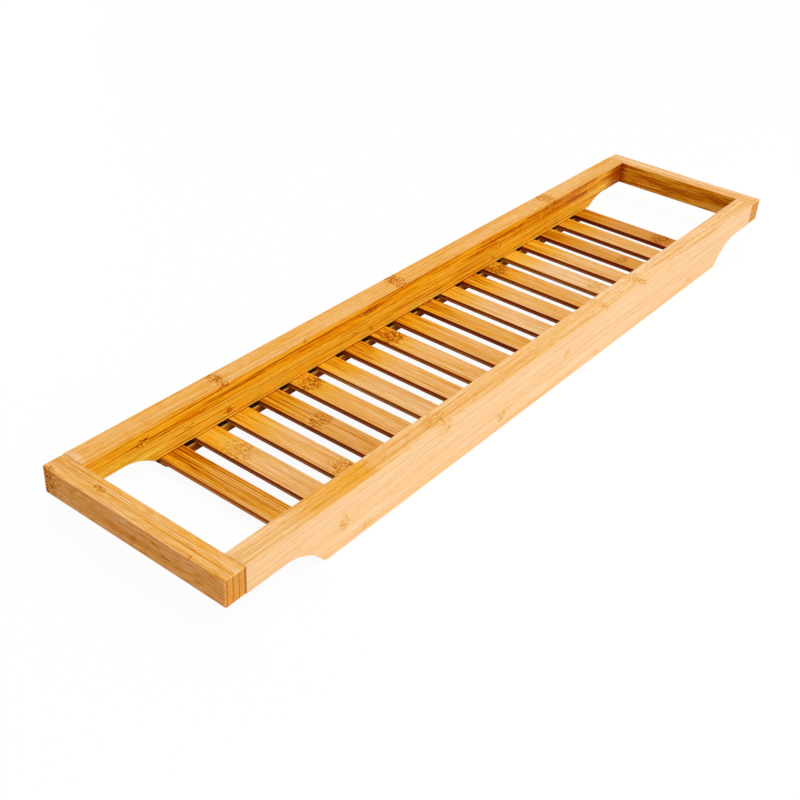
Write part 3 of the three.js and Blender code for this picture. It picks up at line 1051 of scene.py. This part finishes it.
def describe_slat(shade, place, _end_face):
    """The slats, some with plain faces and some edge-glued from narrow strips, each in its own tone."""
    x, y, z = shade.parts(place)
    pitches = shade.math("DIVIDE", shade.minus(x, SLAT_FIELD_START), SLAT_PITCH)
    number = shade.math("FLOOR", pitches)
    share = shade.math("DIVIDE", shade.sum(number, 0.5), SLAT_COUNT)
    from_start = shade.minus(x, SLAT_LOW.x - SLAT_STRIP_START)
    across = shade.math("MULTIPLY_ADD", number, -SLAT_PITCH, from_start)
    off_middle = shade.minus(across, SLAT_HALF_WIDTH + SLAT_STRIP_START)
    far = shade.spread(y, SLAT_FAR_SHADE_EDGE)

    def of_each(values):
        stops = [(slat / SLAT_COUNT, value) for slat, value in enumerate(values)]
        return shade.follow(share, stops, "CONSTANT")

    lined = of_each(SLAT_LINE_SHARES)
    tone = of_each(SLAT_TONE_SHARES)
    # Towards the back the tone deepens: painted shade and warm bounce light
    far_shade = shade.times(shade.minus(of_each(SLAT_FAR_SHADE_TONE_SHARES), tone), far)
    # The sides darken in patches and just below the top: painted shade between the slats
    patches = shade.noise(place, SLAT_SHADE_PATCH_SIZE, detail=1)
    patches = shade.spread(patches, SLAT_SHADE_PATCH_RANGE, SLAT_SIDE_SHADES)
    side_shade = shade.times(
        shade.spread(shade.math("ABSOLUTE", off_middle), SLAT_SIDE_EDGE),
        shade.sum(patches, shade.spread(z, SLAT_SIDE_SHADE_TOP)),
        of_each(SLAT_SIDE_SHADE_SHARES),
    )
    # A thin painted contact shadow where a slat meets a rail
    contact_shadow = shade.spread(shade.math("ABSOLUTE", y), SLAT_CONTACT_SHADOW_EDGE)
    tint = shade.blend(of_each(SLAT_BROWN_SHARES), NO_TINT, SLAT_BROWN_TINT)
    lift = shade.math("MULTIPLY_ADD", number, SLAT_THICKNESS_STRIP, -SLAT_LIFT)
    return {
        "Place": shade.point(y, across, shade.sum(z, lift)),
        "Tone": shade.sum(tone, far_shade),
        "Strip Width": SLAT_STRIP_WIDTH,
        "Strip Thickness": SLAT_THICKNESS_STRIP,
        "Seed": SLAT_SEED,
        "Strip Contrast": shade.times(lined, SLAT_STRIP_CONTRAST),
        "Grain Contrast": shade.between(far, *SLAT_GRAIN_CONTRASTS),
        "Seam Strength": shade.times(lined, lined, SLAT_SEAM_STRENGTH),
        "Line Strength": shade.between(lined, *SLAT_LINE_STRENGTHS),
        "Tick Strength": SLAT_TICK_STRENGTH,
        # The back end's golden tint is painted warm bounce light
        "Tint": shade.darken(1, tint, shade.blend(far, NO_TINT, SLAT_FAR_BOUNCE_TINT)),
        # The sides' painted shade and the painted contact shadow
        "Stain And Shade": shade.math("MAXIMUM", side_shade, contact_shadow),
        "Glue": 0,
    }


# The faces of a rail: how far each lies from the rack's middle, and how far across the rail a knot on it
# reaches, in millimetres
RAIL_FACES = {
    "top": (69, 26),
    "outer wall": (RAIL_OUTER / MM, 3),
    "inner wall": (RAIL_INNER / MM, 3),
}

# Knots of a rail: place along and height, reach along and up, all in millimetres, then the strength
FRONT_RAIL_KNOTS = {
    "top": (
        (-217, 40, 4, 3, 0.4), (-149, 37, 13, 12, 0.55), (65, 40, 6, 4, 0.5), (122, 39, 10, 6, 0.6),
    ),
    "outer wall": (
        (-250, 20, 6, 9, 0.75), (-228, 4, 8, 5, 0.5), (-78, 11, 9, 5, 0.65), (7, 23, 6, 6, 0.6),
        (56, 4, 5, 4, 0.5), (213, 8, 8, 4, 0.5),
    ),
    "inner wall": ((40, 28, 12, 7, 0.75), (-120, 24, 12, 6, 0.75)),
}
BACK_RAIL_KNOTS = {
    "top": ((-212, 40, 8, 4, 0.95), (-16, 40, 11, 4, 1.0), (206, 40, 12, 4, 0.85)),
    "inner wall": (
        (-285, 31, 9, 5, 0.9), (-245, 23, 8, 5, 0.75), (-210, 17, 9, 5, 0.85), (-58, 33, 12, 5, 0.8),
        (-72, 21, 8, 3, 0.7), (-56, 16, 6, 5, 0.7), (-130, 38, 5, 3, 0.6), (122, 23, 8, 5, 0.7),
        (112, 16, 8, 4, 0.6), (200, 37, 9, 4, 0.6), (185, 31, 10, 4, 0.5),
    ),
    "outer wall": ((-90, 30, 11, 7, 0.55), (180, 10, 10, 7, 0.6)),
}

# Knots of the other pieces: middle and reach in millimetres, then the strength
LEFT_BAR_KNOTS = (
    ((-342, 35, 40), (4, 9, 4), 0.75),
    ((-350, 80, 30), (5, 25, 28), 1.0),
    ((-348, -49, 40), (1.6, 2, 2), 1.0),
)
RIGHT_BAR_KNOTS = (
    ((350, -20, 28), (3, 8, 8), 0.9),
    ((342, -40, 20), (5, 8, 3), 0.9),
)
SLAT_KNOTS = (
    ((-231, 29, 11), (18, 20, 5), 0.65),
    ((-200, -37, 11), (17, 18, 5), 0.85),
    ((-169, 13, 11), (18, 13, 5), 0.8),
    ((-139, 49, 11), (18, 13, 5), 1.0),
    ((-46, 46, 11), (18, 13, 5), 1.1),
    ((15, 62, 11), (14, 8, 5), 0.9),
    ((108, 51, 11), (16, 13, 5), 0.95),
    ((139, -27, 11), (14, 12, 5), 0.55),
    ((200, -19, 11), (16, 7, 5), 0.85),
    ((262, -25, 11), (18, 14, 5), 1.25),
    ((262, -46, 11), (18, 19, 5), 1.0),
)


def rail_knots(side, faces):
    """The middle, reach and strength of each knot of a rail."""
    knots = []
    for face, rows in faces.items():
        out, depth = RAIL_FACES[face]
        for x, z, reach_x, reach_z, strength in rows:
            knots.append(((x, side * out, z), (reach_x, depth, reach_z), strength))
    return knots


# The dowels

BEECH_COLOURS = (colour(232, 198, 150), colour(206, 160, 108))
BEECH_ROUGHNESSES = (0.6, 0.8)
BEECH_TICK_COVER = 0.5


def beech_finish():
    """Plain unfinished beech, with its short ray flecks."""
    material, shade, surface = new_material("beech")
    fibre = shade.group(FIBRES, {"Place": shade.add("TexCoord").outputs["Object"]})
    wood = shade.blend(fibre["Streaks"], *BEECH_COLOURS)
    flecks = shade.times(fibre["Ticks"], BEECH_TICK_COVER)
    wood = shade.darken(flecks, wood, LINE_FILTER)
    roughness = shade.between(fibre["Streaks"], *BEECH_ROUGHNESSES)
    cover(surface, shade, wood, roughness, height=fibre["Streaks"])
    return material


# The rack

def place_piece(piece, material, slot, *nodes):
    """Gives a piece its finish, lets it ride with the rack and stand for its nodes."""
    piece.data.materials.clear()
    piece.data.materials.append(material)
    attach(piece, "root")
    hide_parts(*nodes)


front_bamboo = bamboo_finish(
    "front rail bamboo",
    ALONG_X,
    describe_rail(side=-1, seed=1, top_shares=FRONT_TOP_SHARES, rim_tone=-0.1, line_tone=0.22),
    rail_knots(-1, FRONT_RAIL_KNOTS),
)
back_bamboo = bamboo_finish(
    "back rail bamboo",
    ALONG_X,
    describe_rail(side=1, seed=2, top_shares=BACK_TOP_SHARES, rim_tone=0, line_tone=0.2),
    rail_knots(1, BACK_RAIL_KNOTS),
)
left_bamboo = bamboo_finish(
    "left bar bamboo",
    ALONG_Y,
    describe_bar(end=-1, seed=3, top_tone=0.43, inner_bounce_tone=0.66),
    LEFT_BAR_KNOTS,
)
right_bamboo = bamboo_finish(
    "right bar bamboo",
    ALONG_Y,
    describe_bar(end=1, seed=4, top_tone=0.27, inner_bounce_tone=0.86),
    RIGHT_BAR_KNOTS,
)
slat_bamboo = bamboo_finish("slat bamboo", ALONG_Y, describe_slat, SLAT_KNOTS)

place_piece(make_rail("front_rail_bamboo", -1), front_bamboo, "rail_bamboo", "front_rail")
place_piece(make_rail("back_rail_bamboo", 1), back_bamboo, "rail_bamboo", "back_rail")
place_piece(make_end_bar("left_end_bar_bamboo", -1), left_bamboo, "end_bar_bamboo", "left_end_bar")
place_piece(make_end_bar("right_end_bar_bamboo", 1), right_bamboo, "end_bar_bamboo", "right_end_bar")
for number, slat in enumerate(make_slats(), start=1):
    place_piece(slat, slat_bamboo, "slat_bamboo", f"slat_{number:02d}")

beech = beech_finish()
for name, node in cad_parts.items():
    if name.startswith("dowel_"):
        node.data.materials.clear()
        node.data.materials.append(beech)


# The floor, the world and the lamps

FLOOR_SIZE = 12
LAMP_SIZE = 1.4
FLOOR_BOUNCE = (0.68, 0.68, 0.68, 1)
FLOOR_ROUGHNESS = 0.35
FLOOR_GLOW_SHARE = 0.94
WORLD_AMBIENT = 0.45
WHITE = (1, 1, 1, 1)


def seen_share(shade):
    """1 for rays from the camera, or by way of a reflection or through glass, and 0 for light."""
    path = shade.add("LightPath").outputs
    seen = shade.math("MAXIMUM", path["Is Camera Ray"], path["Is Glossy Ray"])
    return shade.math("MAXIMUM", seen, path["Is Transmission Ray"])


def make_floor():
    """A plain white floor that keeps a faint shadow."""
    bpy.ops.object.select_all(action="DESELECT")
    bpy.ops.mesh.primitive_plane_add(size=FLOOR_SIZE, location=(0, 0, 0))
    floor = bpy.context.object
    floor.name = "floor"
    material, shade, surface = new_material("white floor")
    seen = seen_share(shade)
    shade.feed(shade.blend(seen, FLOOR_BOUNCE, WHITE), surface.inputs["Base Color"])
    surface.inputs["Roughness"].default_value = FLOOR_ROUGHNESS
    glow = shade.add("Emission", {"Color": WHITE, "Strength": 1}).outputs[0]
    share = shade.times(seen, FLOOR_GLOW_SHARE)
    mixed = shade.add("MixShader", {0: share, 1: surface.outputs[0], 2: glow}).outputs[0]
    shade.feed(mixed, material.node_tree.nodes["Material Output"].inputs["Surface"])
    floor.data.materials.append(material)


def light_world():
    """An even grey light all round, behind a background that is seen as white."""
    world = bpy.data.worlds.new("soft box")
    world.use_nodes = True
    bpy.context.scene.world = world
    shade = Shade(world.node_tree)
    strength = shade.math("MULTIPLY_ADD", seen_share(shade), 1 - WORLD_AMBIENT, WORLD_AMBIENT)
    background = world.node_tree.nodes["Background"]
    background.inputs["Color"].default_value = WHITE
    shade.feed(strength, background.inputs["Strength"])


def soft_lamp(name, place, power):
    """A square lamp aimed at the rack's middle, its power in watts."""
    data = bpy.data.lights.new(name, "AREA")
    data.size = LAMP_SIZE
    data.energy = power
    lamp = bpy.data.objects.new(name, data)
    lamp.location = place
    lamp.rotation_euler = (-Vector(place)).to_track_quat("-Z", "Y").to_euler()
    bpy.context.scene.collection.objects.link(lamp)


make_floor()
light_world()
soft_lamp("front lamp", place=(-0.05, -1.9, 0.6), power=14.5)
soft_lamp("top lamp", place=(0.1, -0.7, 1.84), power=20.6)
soft_lamp("back lamp", place=(0.3, 1.9, 0.45), power=10)


# The camera: its place in metres, its turns in degrees, its lens and sensor in millimetres

CAMERA_PLACE = (-0.6783, -0.4257, 0.4772)
CAMERA_TURNS = (56.33, -3.05, -51.86)
LENS_LENGTH = 53.07
SENSOR_WIDTH = 36

camera_data = bpy.data.cameras.new("camera")
camera_data.lens = LENS_LENGTH
camera_data.sensor_width = SENSOR_WIDTH
camera = bpy.data.objects.new("camera", camera_data)
camera.location = CAMERA_PLACE
camera.rotation_euler = Euler([math.radians(turn) for turn in CAMERA_TURNS])
bpy.context.scene.collection.objects.link(camera)
bpy.context.scene.camera = camera
bpy.context.scene.view_settings.view_transform = "Standard"
